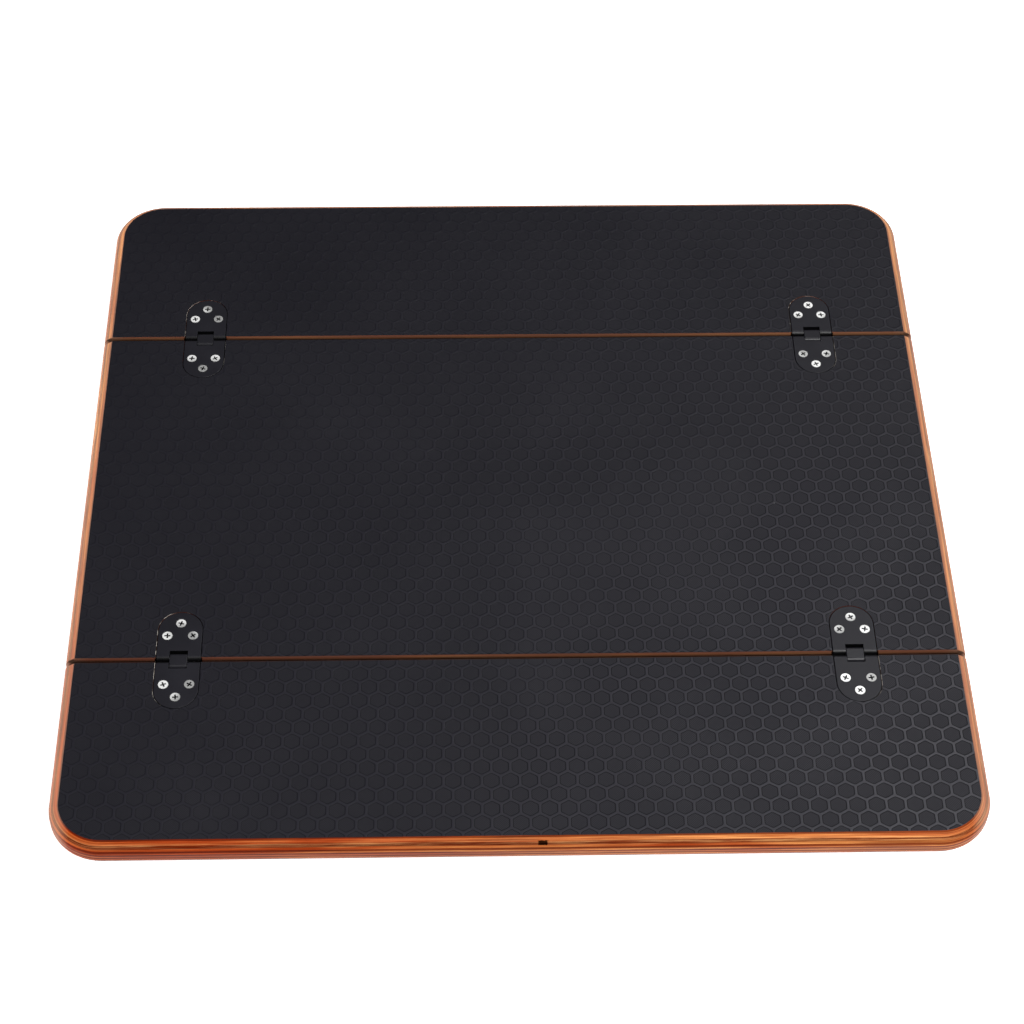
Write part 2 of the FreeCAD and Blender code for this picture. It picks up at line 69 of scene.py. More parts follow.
# the hinges: how far from the middle of the board, and how far a leaf reaches from its crease
LINK_LOW, LINK_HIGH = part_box("back_right_hinge_link")
HINGE_X = (LINK_LOW.x + LINK_HIGH.x) / 2
CREASE_Y = (LINK_LOW.y + LINK_HIGH.y) / 2
LEAF_LOW, LEAF_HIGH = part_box("back_right_hinge_outer_leaf")
LEAF_WIDTH = LEAF_HIGH.x - LEAF_LOW.x
LEAF_REACH = LEAF_HIGH.y - CREASE_Y
MORTISE_CLEARANCE = 0.5 * MM
MORTISE_FLOOR = min(LEAF_LOW.z, LINK_LOW.z) - MORTISE_CLEARANCE

# the board's plies, an odd number of equal sheets
PLY_COUNT = 13
PLY_PAIR = 2 * BOARD_TOP / PLY_COUNT
FIRST_PALE_PLY = BOARD_TOP - 0.55 * PLY_PAIR
PLY_WANDER = 0.35 * MM

# the embossing: hexagons with two sides along Y, in rows along X
CELL_PITCH = 12.5 * MM
ROW_PITCH = CELL_PITCH * math.sqrt(3) / 2
RIDGE_WIDTH = 1.2 * MM
CELL_CORNER_RADIUS = 1.3 * MM
EMBOSSING_DEPTH = 0.10 * MM
FIRST_CELL = Vector((-50.5 * MM, -196 * MM))
MESH_PITCH = 1.5 * MM
# how a cell's wall falls away from the ridge: shares of the embossing depth across and down
WALL_STEPS = ((-0.4, -0.6), (0.0, 0.0), (1.4, 0.12), (4.5, 0.75), (9.0, 1.0))

# the wood's surface, with the light and shade painted on it: depths below the top face, heights, and
# reaches from an edge
SHOULDER_RUB_AND_HIGHLIGHT_DEPTH = 2.7 * MM
LOW_DUST_AND_REFLECTION_TOP = 9 * MM
LOW_DUST_AND_REFLECTION_BOTTOM = 4 * MM
FRONT_LEFT_LENGTH = 250 * MM
FRONT_LEFT_FADE = 60 * MM
SIDE_REACH = 8 * MM
SIDE_FADE = 8 * MM
CREASE_REACH = 1.8 * MM
CREASE_FADE = 0.8 * MM
LIP_DEPTHS = (1.6 * MM, 0.4 * MM)
CREASE_SHADE_DEPTHS = (6 * MM, 3 * MM)

# a short gap in one of the front edge's dark plies, where a knot fell out: half sizes along X and Z
KNOT = Vector((13.4 * MM, 0.0, FIRST_PALE_PLY - PLY_PAIR / 2))
KNOT_HALF_LENGTH = 3.2 * MM
KNOT_HALF_HEIGHT = 0.95 * MM
FRONT_EDGE = cad_box[0].y + 20 * MM

# how far the cutter wandered as it opened the film for each leaf, across and along the board
MORTISE_DRIFT = {
    "front_left_hinge_inner": (-0.28 * MM, 0.15 * MM),
    "front_left_hinge_outer": (-0.22 * MM, 0.0),
    "front_right_hinge_outer": (0.22 * MM, 0.0),
    "back_left_hinge_inner": (0.15 * MM, 0.0),
    "back_left_hinge_outer": (-0.15 * MM, 0.12 * MM),
    "back_right_hinge_inner": (0.18 * MM, 0.0),
    "back_right_hinge_outer": (-0.2 * MM, 0.15 * MM),
}


# ---------------------------------------------------------------- material nodes

class Finish:
    """A node material written as expressions: each method adds a node and returns its output."""

    COLOUR_A, COLOUR_B, COLOUR_RESULT = 6, 7, 2  # the colour sockets of a Mix node

    def __init__(self, name):
        self.material = bpy.data.materials.new(name)
        self.material.use_nodes = True
        self.tree = self.material.node_tree
        self.surface = self.tree.nodes["Principled BSDF"]
        self.place = self.tree.nodes.new("ShaderNodeTexCoord").outputs["Object"]
        self.normal = self.tree.nodes.new("ShaderNodeTexCoord").outputs["Normal"]

    def connect(self, value, socket):
        """Join an output to a socket, or set the socket to a plain value."""
        if isinstance(value, bpy.types.NodeSocket):
            self.tree.links.new(value, socket)
        else:
            socket.default_value = value

    def node(self, kind, inputs, **settings):
        """A node with its settings made and its inputs, given by name or number, joined."""
        node = self.tree.nodes.new(kind)
        for setting, value in settings.items():
            setattr(node, setting, value)
        for key, value in inputs.items():
            self.connect(value, node.inputs[key])
        return node

    def math(self, operation, first, second=0.0):
        return self.node("ShaderNodeMath", {0: first, 1: second}, operation=operation).outputs[0]

    def product(self, first, *others):
        """Values multiplied together."""
        for other in others:
            first = self.math("MULTIPLY", first, other)
        return first

    def inverse(self, value):
        """One less a value."""
        return self.math("SUBTRACT", 1.0, value)

    def axes(self, place):
        """The x, y and z of a place."""
        return self.node("ShaderNodeSeparateXYZ", {0: place}).outputs

    def stretched(self, x, y, z, place=None):
        """A place multiplied along each axis, so that a texture on it is drawn out."""
        inputs = {0: place or self.place, 1: (x, y, z)}
        return self.node("ShaderNodeVectorMath", inputs, operation="MULTIPLY").outputs[0]

    def distance(self, coordinate, centre):
        """How far a coordinate is from a centre and its mirror image across zero."""
        mirrored = self.math("ABSOLUTE", coordinate)
        return self.math("ABSOLUTE", self.math("SUBTRACT", mirrored, centre))

    def within(self, distance, reach, softness):
        """1 where a distance is inside reach, falling to 0 over softness."""
        return self.span(distance, reach, reach + softness, 1.0, 0.0)

    def edges(self, reach):
        """1 close to a sharp edge and 0 on open faces."""
        rounded = self.node("ShaderNodeBevel", {"Radius": reach}, samples=4).outputs[0]
        flat = self.tree.nodes.new("ShaderNodeNewGeometry").outputs["Normal"]
        turned = self.node("ShaderNodeVectorMath", {0: rounded, 1: flat}, operation="DOT_PRODUCT")
        return self.span(turned.outputs["Value"], 0.80, 0.98, 1.0, 0.0)

    def noise(self, scale, place=None, detail=3.0, roughness=0.55):
        inputs = {"Vector": place or self.place, "Scale": scale, "Detail": detail,
                  "Roughness": roughness}
        return self.node("ShaderNodeTexNoise", inputs).outputs[0]

    def span(self, value, low, high, to_low=0.0, to_high=1.0):
        """A value carried from one range to another and held inside it."""
        inputs = {"Value": value, "From Min": low, "From Max": high,
                  "To Min": to_low, "To Max": to_high}
        return self.node("ShaderNodeMapRange", inputs).outputs[0]

    def mix(self, factor, first, second, blend="MIX"):
        """Two colours mixed; each is an output or an (r, g, b)."""
        first, second = (c if isinstance(c, bpy.types.NodeSocket) else (*c, 1.0)
                         for c in (first, second))
        inputs = {"Factor": factor, self.COLOUR_A: first, self.COLOUR_B: second}
        node = self.node("ShaderNodeMix", {}, data_type="RGBA", blend_type=blend)
        for key, value in inputs.items():
            self.connect(value, node.inputs[key])
        return node.outputs[self.COLOUR_RESULT]

    def scaled(self, colour, factor):
        """A colour made brighter or darker by a factor."""
        grey = self.node("ShaderNodeCombineXYZ", {0: factor, 1: factor, 2: factor}).outputs[0]
        return self.mix(1.0, colour, grey, blend="MULTIPLY")

    def bump(self, height, distance, strength=1.0, under=None):
        inputs = {"Height": height, "Distance": distance, "Strength": strength}
        if under:
            inputs["Normal"] = under
        return self.node("ShaderNodeBump", inputs).outputs[0]

    def set(self, inputs):
        """Set the surface's own inputs by name and return the material."""
        for label, value in inputs.items():
            if isinstance(value, tuple):
                value = (*value, 1.0)
            self.connect(value, self.surface.inputs[label])
        return self.material


# ---------------------------------------------------------------- finishes

def ply_tones(finish, z):
    """Dark and pale plies in turn down the edge, each streaked along its length."""
    wander = finish.noise(11, finish.stretched(1, 1, 3), detail=2.0)
    height = finish.math("ADD", z, finish.span(wander, 0.0, 1.0, -PLY_WANDER, PLY_WANDER))
    turns = finish.product(finish.math("SUBTRACT", height, FIRST_PALE_PLY),
                           2 * math.pi / PLY_PAIR)
    pale = finish.span(finish.math("COSINE", turns), -0.35, 0.45)
    streak = finish.noise(1, finish.stretched(14, 14, 2400), detail=4.0, roughness=0.65)
    streak = finish.span(streak, 0.36, 0.64)
    dark_ply = finish.mix(streak, (0.080, 0.007, 0.001), (0.27, 0.040, 0.006))
    pale_ply = finish.mix(streak, (0.36, 0.065, 0.008), (0.70, 0.235, 0.070))
    return finish.mix(pale, dark_ply, pale_ply), pale


def stain_thinness(finish, x, y):
    """0 where the stain is thick, in patches and at the front left, up to 1 where it is thin."""
    patch = finish.noise(1, finish.stretched(9, 9, 350), detail=2.0)
    front_left = finish.product(finish.span(x, -FRONT_LEFT_LENGTH, 0.0, 1.0, 0.0),
                                finish.within(y, -CREASE_Y, FRONT_LEFT_FADE))
    thin = finish.math("SUBTRACT", finish.span(patch, 0.32, 0.60), finish.product(front_left, 0.8))
    return finish.span(thin, 0.0, 1.0)


def stain(finish, colour, thin, fibre, pores):
    """The stain over the plies, with its blotches, the fibres and the pores."""
    blotch = finish.noise(1, finish.stretched(12, 12, 1100), detail=3.0)
    tint = finish.mix(thin, (0.58, 0.27, 0.16), (1.02, 1.24, 1.30))
    colour = finish.mix(1.0, colour, tint, blend="MULTIPLY")
    colour = finish.mix(finish.span(blotch, 0.53, 0.63, 0.0, 0.60), colour, (0.120, 0.014, 0.003))
    colour = finish.scaled(colour, finish.span(fibre, 0.3, 0.7, 0.70, 1.22))
    return finish.scaled(colour, finish.span(pores, 0.30, 0.42, 0.6, 1.0))


def edge_wear_and_painted_light(finish, colour, x, z, pale, thin, fibre):
    """A streaky rub along the shoulder, partly wear and partly a painted highlight; paler low down,
    a painted reflection of the floor with some dust; and paler on the board's two sides, a painted
    reflection.
    """
    shoulder = finish.distance(z, BOARD_TOP - SHOULDER_RUB_AND_HIGHLIGHT_DEPTH)
    # partly wear, partly a painted highlight: a pale streaky band along the shoulder
    rub_and_highlight = finish.product(finish.within(shoulder, 0.3 * MM, 1.1 * MM),
                            finish.span(fibre, 0.48, 0.60),
                            finish.span(thin, 0.0, 1.0, 0.25, 0.60))
    colour = finish.mix(rub_and_highlight, colour, (0.78, 0.42, 0.16))
    # painted reflection of the floor, with some dust: the plies paler low down
    low = finish.span(z, LOW_DUST_AND_REFLECTION_BOTTOM, LOW_DUST_AND_REFLECTION_TOP, 0.3, 0.0)
    low_tones = finish.mix(pale, (0.19, 0.050, 0.011), (0.50, 0.20, 0.072))
    colour = finish.mix(low, colour, low_tones)
    # painted reflection: the board's two sides paled towards pink
    side = finish.within(finish.distance(x, cad_box[1].x), SIDE_REACH, SIDE_FADE)
    return finish.mix(finish.product(side, 0.22), colour, (0.50, 0.38, 0.27))


def crease_dust_and_shade(finish, colour, from_crease, z):
    """Painted shade in a crease, with some dust: a lit lip, a dark mouth, and less shade further
    down. The crease is also paled towards pink, partly dust and partly a painted highlight.
    """
    in_crease = finish.within(from_crease, CREASE_REACH, CREASE_FADE)
    lip = finish.span(z, *(BOARD_TOP - depth for depth in LIP_DEPTHS), 0.09, 0.36)
    face = finish.span(z, *(BOARD_TOP - depth for depth in CREASE_SHADE_DEPTHS), 0.65, 0.0)
    # painted shade: darkest in the crease's mouth, lighter at the lip and further down
    shaded = finish.product(in_crease, finish.inverse(finish.math("MAXIMUM", lip, face)))
    # partly dust, partly a painted highlight: the crease paled towards pink
    colour = finish.mix(finish.product(in_crease, 0.3), colour, (0.46, 0.26, 0.19))
    return finish.scaled(colour, finish.inverse(shaded))


def bare_top(finish, colour):
    """The core's level faces, raw and chipped, that show in the gaps round the leaves."""
    level = finish.axes(finish.normal)[2]
    chipped = finish.span(finish.noise(170, detail=2.0), 0.46, 0.56)
    raw = finish.mix(chipped, (0.030, 0.027, 0.025), (0.44, 0.41, 0.37))
    return finish.mix(finish.span(level, 0.9985, 0.9995), colour, raw)


def mortise_mask(finish, x, from_crease, z):
    """1 on the walls and floors of the cut-outs for the leaves."""
    in_width = finish.within(finish.distance(x, HINGE_X), LEAF_WIDTH / 2 + MM, 0.2 * MM)
    in_length = finish.within(from_crease, LEAF_REACH + MM, 0.2 * MM)
    above_floor = finish.span(z, MORTISE_FLOOR - 0.1 * MM, MORTISE_FLOOR)
    below_top = finish.span(z, CORE_TOP - 0.6 * MM, CORE_TOP - 0.05 * MM, 1.0, 0.0)
    return finish.product(in_width, in_length, above_floor, below_top)


def knot_mask(finish, x, y, z):
    """1 inside the ragged outline of the gap in the front edge, which is only dented by a bump and
    darkened with painted shade.
    """
    across = finish.math("DIVIDE", finish.math("SUBTRACT", x, KNOT.x), KNOT_HALF_LENGTH)
    down = finish.math("DIVIDE", finish.math("SUBTRACT", z, KNOT.z), KNOT_HALF_HEIGHT)
    reach = finish.math("MAXIMUM", finish.math("ABSOLUTE", across), finish.math("ABSOLUTE", down))
    ragged = finish.math("ADD", reach, finish.span(finish.noise(1400), 0.3, 0.7, -0.2, 0.2))
    on_front = finish.math("LESS_THAN", y, FRONT_EDGE)
    return finish.product(finish.within(ragged, 0.85, 0.15), on_front)


def stained_plywood():
    """Burnt-orange stained birch, deeper at the front left, with painted shade in its creases, its
    cut-outs and its knot's gap, and a rub along its rim that is partly a painted highlight.
    """
    finish = Finish("stained_plywood_finish")
    x, y, z = finish.axes(finish.place)[:3]
    from_crease = finish.distance(y, CREASE_Y)
    fibre = finish.noise(1, finish.stretched(26, 26, 4200), detail=5.0, roughness=0.65)
    pores = finish.noise(2600, detail=2.0, roughness=0.8)
    thin = stain_thinness(finish, x, y)
    knot = knot_mask(finish, x, y, z)
    unlit = finish.math("MAXIMUM", mortise_mask(finish, x, from_crease, z), knot)

    colour, pale = ply_tones(finish, z)
    colour = stain(finish, colour, thin, fibre, pores)
    colour = edge_wear_and_painted_light(finish, colour, x, z, pale, thin, fibre)
    colour = crease_dust_and_shade(finish, colour, from_crease, z)
    colour = bare_top(finish, colour)
    # painted shade: the cut-outs for the leaves and the knot's gap are made near black
    colour = finish.scaled(colour, finish.span(unlit, 0.0, 1.0, 1.0, 0.06))

    relief = finish.math("ADD", fibre, finish.product(pale, 0.6))
    normal = finish.bump(relief, 0.06 * MM, 0.4)
    normal = finish.bump(pores, 0.05 * MM, 0.3, under=normal)
    normal = finish.bump(finish.inverse(knot), 0.4 * MM, 0.8, under=normal)
    return finish.set({
        "Base Color": colour,
        "Roughness": finish.span(fibre, 0.3, 0.7, 0.38, 0.54),
        # painted shade: no reflection in the cut-outs and the knot's gap
        "Specular IOR Level": finish.span(unlit, 0.0, 1.0, 0.18, 0.0),
        "Specular Tint": (1.0, 0.50, 0.25),
        "Normal": normal,
    })


def pressed_height(share):
    """The height that is a share of the embossing's depth below the top face."""
    return BOARD_TOP - share * EMBOSSING_DEPTH


def mesh_weave(finish, x, y, ridge):
    """The fine square mesh pressed into the cells, from -1 to 1."""
    turns_each_metre = 2 * math.pi / MESH_PITCH
    waves = [finish.math("SINE", finish.product(axis, turns_each_metre)) for axis in (x, y)]
    return finish.product(*waves, finish.inverse(ridge))


def white_specks(finish):
    """1 on a few specks of dust, in some places only."""
    dust = finish.node("ShaderNodeTexVoronoi", {"Vector": finish.place, "Scale": 30.0}).outputs[0]
    few = finish.span(finish.noise(9, detail=1.0), 0.60, 0.64)
    return finish.product(finish.span(dust, 0.008, 0.013, 1.0, 0.0), few)


def handling_and_sheen(finish, x, y):
    """How worn the film is from hands, and how much painted sheen falls on it: from 0 at the back
    left to 1 at the front right.
    """
    uneven = finish.span(finish.noise(16, detail=2.0), 0.3, 0.7, -0.12, 0.12)
    to_front_right = finish.math("ADD", finish.math("SUBTRACT", x, y), uneven)
    return finish.span(to_front_right, -0.45, 0.50)


def painted_foot_shade(finish, z, ridge, wear_and_sheen):
    """1 at the foot of each cell's wall, where shade is painted, strongest where the film is worn
    and sheened.
    """
    off_floor = finish.span(z, pressed_height(0.98), pressed_height(0.9))
    return finish.product(off_floor, finish.inverse(ridge),
                          finish.span(wear_and_sheen, 0.0, 0.8, 0.25, 1.0))


def film_colour(finish, ridge, foot, weave, broad, wear_and_sheen):
    """Near-black, with a painted sheen on the ridges, painted shade at the wall feet, the pressed
    mesh's light and shade painted faintly, pale dots on the mesh that are partly dust and partly
    painted glints, and specks of dust.
    """
    fine = finish.noise(5200, detail=3.0, roughness=0.7)
    cell = finish.mix(broad, (0.0044, 0.0041, 0.0070), (0.0058, 0.0054, 0.0088))
    # painted sheen: the ridges paler, most where the film is worn and sheened
    ridge_sheen_tone = finish.mix(wear_and_sheen, (0.0064, 0.0061, 0.0095), (0.0140, 0.0134, 0.0182))
    colour = finish.mix(ridge, cell, ridge_sheen_tone)
    # painted shade: the foot of each cell's wall darkened
    colour = finish.scaled(colour, finish.span(foot, 0.0, 1.0, 1.0, 0.5))
    # painted light and shade of the pressed mesh
    colour = finish.scaled(colour, finish.span(weave, -0.5, 0.5, 0.65, 1.45))
    colour = finish.scaled(colour, finish.span(fine, 0.3, 0.7, 0.8, 1.2))
    # partly dust, partly painted glints: pale dots on the mesh, in patches and where the film is
    # worn and sheened
    dust_and_glint_patches = finish.span(finish.noise(11, detail=2.0), 0.50, 0.64, 0.15, 1.0)
    dots = finish.product(finish.span(weave, 0.25, 0.85), dust_and_glint_patches, wear_and_sheen)
    colour = finish.mix(dots, colour, (0.027, 0.026, 0.032))
    return finish.mix(finish.product(white_specks(finish), 0.6), colour, (0.30, 0.30, 0.30)), fine


def embossed_film():
    """Near-black phenolic film: smoother ridges around cells pressed with a fine square mesh."""
    finish = Finish("embossed_film_finish")
    x, y, z = finish.axes(finish.place)[:3]
    ridge = finish.span(z, pressed_height(0.6), pressed_height(0.1))
    weave = mesh_weave(finish, x, y, ridge)
    broad = finish.span(finish.noise(7, detail=3.0), 0.3, 0.7)
    wear_and_sheen = handling_and_sheen(finish, x, y)
    foot = painted_foot_shade(finish, z, ridge, wear_and_sheen)
    colour, fine = film_colour(finish, ridge, foot, weave, broad, wear_and_sheen)

    normal = finish.bump(weave, 0.05 * MM, 0.6)
    normal = finish.bump(fine, 0.02 * MM, 0.4, under=normal)
    cell_roughness = finish.span(broad, 0.0, 1.0, 0.54, 0.62)
    polish = finish.product(ridge, finish.span(wear_and_sheen, 0.0, 1.0, 0.08, 0.20))
    return finish.set({
        "Base Color": colour,
        "Roughness": finish.math("SUBTRACT", cell_roughness, polish),
        # painted shade: less reflection at the foot of each wall
        "Specular IOR Level": finish.span(foot, 0.0, 1.0, 0.30, 0.14),
        "Normal": normal,
    })


def smooth_film():
    """The plain dark film of the underside: a faint grain shows through it, with fine scratches."""
    finish = Finish("smooth_film_finish")
    grain = finish.noise(1, finish.stretched(14, 260, 1), detail=4.0, roughness=0.6)
    fine = finish.noise(3800, detail=3.0)
    scratch = finish.noise(1, finish.stretched(420, 16, 1), detail=6.0, roughness=0.75)
    worn = finish.span(scratch, 0.66, 0.74)
    colour = finish.mix(grain, (0.009, 0.0086, 0.0105), (0.016, 0.0154, 0.0185))
    colour = finish.mix(finish.product(worn, 0.4), colour, (0.05, 0.05, 0.055))
    normal = finish.bump(grain, 0.08 * MM, 0.35)
    normal = finish.bump(fine, 0.015 * MM, 0.3, under=normal)
    return finish.set({
        "Base Color": colour,
        "Roughness": finish.span(grain, 0.3, 0.7, 0.30, 0.42),
        "Normal": normal,
    })


def coated_metal(name, tone, roughness, grimy_and_shaded_below=None):
    """Satin charcoal coating with a fine orange peel, paler where an edge stands proud, partly from
    wear and partly a painted highlight.

    A part let into the board is black with painted shadow and dirt below the height
    grimy_and_shaded_below.
    """
    finish = Finish(name)
    z = finish.axes(finish.place)[2]
    peel = finish.noise(2300, detail=2.0)
    cloud = finish.span(finish.noise(38, detail=3.0), 0.3, 0.7)
    # partly wear, partly a painted highlight on the proud edges
    rub_and_highlight = finish.product(finish.edges(0.25 * MM), cloud)
    worn = tuple(0.08 + 2 * part for part in tone)
    faded = tuple(1.3 * part for part in tone)
    colour = finish.mix(cloud, tone, faded)
    colour = finish.mix(finish.product(rub_and_highlight, 0.3), colour, worn)
    if grimy_and_shaded_below:
        # painted shadow, with dirt, on the part below the board's top
        grime_and_shade = finish.span(z, grimy_and_shaded_below - 0.5 * MM, grimy_and_shaded_below, 0.12, 1.0)
        colour = finish.scaled(colour, grime_and_shade)
    return finish.set({
        "Base Color": colour,
        "Specular IOR Level": 0.28,
        "Roughness": finish.span(cloud, 0.0, 1.0, roughness - 0.04, roughness + 0.04),
        "Normal": finish.bump(peel, 0.02 * MM, 0.5),
    })


def hinge_pin():
    """Dull plain steel."""
    finish = Finish("hinge_pin_finish")
    turned = finish.noise(1, finish.stretched(2200, 300, 300), detail=3.0)
    colour = finish.mix(turned, (0.10, 0.10, 0.11), (0.22, 0.22, 0.23))
    return finish.set({
        "Base Color": colour,
        "Metallic": 1.0,
        "Roughness": finish.span(turned, 0.3, 0.7, 0.28, 0.42),
        "Normal": finish.bump(turned, 0.02 * MM, 0.4),
    })


def bright_screw():
    """Bright rough nickel, duller on some heads, with painted shade at its edges and down in its
    recess.
    """
    finish = Finish("screw_finish")
    z = finish.axes(finish.place)[2]
    open_to_light = finish.span(z, SCREW_TOP - 0.35 * MM, SCREW_TOP - 0.04 * MM)
    tarnish = finish.noise(900, detail=4.0, roughness=0.6)
    plate = finish.mix(tarnish, (0.70, 0.70, 0.69), (0.92, 0.92, 0.91))
    dulled = finish.span(finish.noise(55, detail=0.0), 0.38, 0.60, 0.42, 1.0)
    colour = finish.scaled(plate, dulled)
    # painted shadow at the screw's sharp edges
    colour = finish.mix(finish.product(finish.edges(0.5 * MM), 0.9), colour, (0.02, 0.02, 0.02))
    # painted shade down in the recess
    colour = finish.mix(open_to_light, (0.006, 0.006, 0.007), colour)
    return finish.set({
        "Base Color": colour,
        "Metallic": 0.3,
        "Roughness": finish.span(tarnish, 0.3, 0.7, 0.34, 0.5),
        "Normal": finish.bump(tarnish, 0.015 * MM, 0.35),
    })


FINISHES = {
    "stained_plywood": stained_plywood(),
    "embossed_film": embossed_film(),
    "smooth_film": smooth_film(),
    "hinge_leaf": coated_metal("hinge_leaf_finish", (0.0078, 0.0075, 0.0104), 0.46,
                               grimy_and_shaded_below=BOARD_TOP - 0.05 * MM),
    "hinge_link": coated_metal("hinge_link_finish", (0.0085, 0.0082, 0.0108), 0.40),
    "hinge_pin": hinge_pin(),
    "screw": bright_screw(),
}
SLOT_OF_ENDING = {"plywood": "stained_plywood", "top_film": "embossed_film",
                  "bottom_film": "smooth_film", "leaf": "hinge_leaf", "link": "hinge_link",
                  "pin": "hinge_pin", "screws": "screw"}


def dress(piece, slot):
    """Give a piece one finish in place of its materials."""
    piece.data.materials.clear()
    piece.data.materials.append(FINISHES[slot])


def dress_nodes():
    """Give every CAD node its finish, by the end of its name."""
    for name, node in NODES.items():
        for ending, slot in SLOT_OF_ENDING.items():
            if name.endswith(f"_{ending}"):
                dress(node, slot)


# ---------------------------------------------------------------- meshes

def object_from(mesh, name):
    """A mesh as an object at the origin, in the scene."""
    made = bpy.data.objects.new(name, mesh)
    bpy.context.scene.collection.objects.link(made)
    return made


def ring_prism(shape, rings):
    """Add a closed solid through rings of points, each ring as long as the last, lowest first."""
    layers = [[shape.verts.new(point) for point in ring] for ring in rings]
    count = len(rings[0])
    for lower, upper in zip(layers, layers[1:]):
        for index in range(count):
            following = (index + 1) % count
            shape.faces.new((lower[index], lower[following], upper[following], upper[index]))
    shape.faces.new(layers[0][::-1])
    shape.faces.new(layers[-1])


def cell_ring(centre, inset, z):
    """A hexagon with rounded corners, anticlockwise, its sides moved in by inset."""
    apothem = (CELL_PITCH - RIDGE_WIDTH) / 2 - inset
    radius = CELL_CORNER_RADIUS
    reach = (apothem - radius) / math.cos(math.pi / 6)
    points = []
    for corner in range(6):
        towards = math.pi / 6 + corner * math.pi / 3
        for turn in (-math.pi / 6, 0.0, math.pi / 6):
            points.append((centre.x + reach * math.cos(towards) + radius * math.cos(towards + turn),
                           centre.y + reach * math.sin(towards) + radius * math.sin(towards + turn),
                           z))
    return points


def cell_centres(low, high):
    """The centres of the cells that may touch a rectangle."""
    first_row = math.floor((low.y - FIRST_CELL.y) / ROW_PITCH)
    last_row = math.ceil((high.y - FIRST_CELL.y) / ROW_PITCH)
    first = math.floor((low.x - FIRST_CELL.x) / CELL_PITCH) - 1
    last = math.ceil((high.x - FIRST_CELL.x) / CELL_PITCH)
    for row in range(first_row, last_row + 1):
        shift = CELL_PITCH / 2 if row % 2 else 0.0
        for column in range(first, last + 1):
            yield Vector((FIRST_CELL.x + column * CELL_PITCH + shift,
                          FIRST_CELL.y + row * ROW_PITCH))


def cell_cutter(low, high):
    """One solid for every cell over a rectangle, to press the cells into the film."""
    shape = bmesh.new()
    for centre in cell_centres(low, high):
        rings = [cell_ring(centre, across * EMBOSSING_DEPTH, pressed_height(down))
                 for across, down in reversed(WALL_STEPS)]
        ring_prism(shape, rings)
    mesh = bpy.data.meshes.new("cells")
    shape.to_mesh(mesh)
    shape.free()
    return object_from(mesh, "cells")


def stadium_ring(centre, length, width, z, steps=24):
    """A slot outline along Y with round ends, anticlockwise."""
    radius = width / 2
    reach = length / 2 - radius
    points = []
    for end, start in ((1, 0.0), (-1, math.pi)):
        for step in range(steps + 1):
            angle = start + math.pi * step / steps
            points.append((centre.x + radius * math.cos(angle),
                           centre.y + end * reach + radius * math.sin(angle), z))
    return points


def mortise_cutter(panel):
    """The film's openings once more, each moved by how far its cutter wandered."""
    shape = bmesh.new()
    length = 2 * (LEAF_REACH + MORTISE_CLEARANCE)
    width = LEAF_WIDTH + 2 * MORTISE_CLEARANCE
    for leaf, (across, along) in MORTISE_DRIFT.items():
        crease, _, _, side = leaf.split("_")
        if panel != ("middle" if side == "inner" else crease):
            continue
        low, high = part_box(f"{leaf.rsplit('_', 1)[0]}_link")
        centre = (low + high) / 2 + Vector((across, along, 0))
        ring_prism(shape, [stadium_ring(centre, length, width, z)
                           for z in (CORE_TOP - FILM_THICKNESS, BOARD_TOP + FILM_THICKNESS)])
    mesh = bpy.data.meshes.new("mortises")
    shape.to_mesh(mesh)
    shape.free()
    return object_from(mesh, "mortises")


def cut(piece, cutter):
    """Take a cutter out of a piece for good, and drop the cutter."""
    modifier = piece.modifiers.new("cut", "BOOLEAN")
    modifier.object = cutter
    modifier.operation = "DIFFERENCE"
    modifier.solver = "MANIFOLD"
    evaluated = piece.evaluated_get(bpy.context.evaluated_depsgraph_get())
    result = bpy.data.meshes.new_from_object(evaluated)
    piece.modifiers.clear()
    piece.data = result
    bpy.data.objects.remove(cutter)


def closed_copy(node, name):
    """A CAD node's shape as a new object whose faces share their corners."""
    shape = bmesh.new()
    shape.from_mesh(node.data)
    bmesh.ops.remove_doubles(shape, verts=shape.verts, dist=0.001 * MM)
    mesh = bpy.data.meshes.new(name)
    shape.to_mesh(mesh)
    shape.free()
    return object_from(mesh, name)


def shade(piece):
    """Smooth shading, except on faces that lie level or stand upright."""
    for face in piece.data.polygons:
        level = abs(face.normal.z)
        face.use_smooth = 0.02 < level < 0.9999


# ---------------------------------------------------------------- pieces

def emboss_film(panel):
    """A panel's top film with the cells pressed into it and its openings cut as they really are."""
    node = f"{panel}_panel_top_film"
    piece = closed_copy(NODES[node], f"{panel}_panel_embossed_film")
    low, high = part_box(node)
    cut(piece, cell_cutter(low, high))
    cut(piece, mortise_cutter(panel))
    shade(piece)
    dress(piece, "embossed_film")
    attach(piece, f"{panel}_panel")
    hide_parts(node)


# ---------------------------------------------------------------- stage, light and camera

FLOOR_REACH = 30.0
FLOOR_DROP = 0.4 * MM
CAMERA_LENS = 85.3
CAMERA_TARGET = Vector((-1.4 * MM, -22.9 * MM, BOARD_TOP))
CAMERA_DISTANCE = 1728.7 * MM
CAMERA_ELEVATION = 50.42
CAMERA_AZIMUTH = 1.76
CAMERA_ROLL = 0.85


def aim(thing, location, target):
    """Put a lamp or a camera at a place, looking at a target."""
    thing.location = location
    thing.rotation_mode = "QUATERNION"
    thing.rotation_quaternion = (target - location).to_track_quat("-Z", "Y")


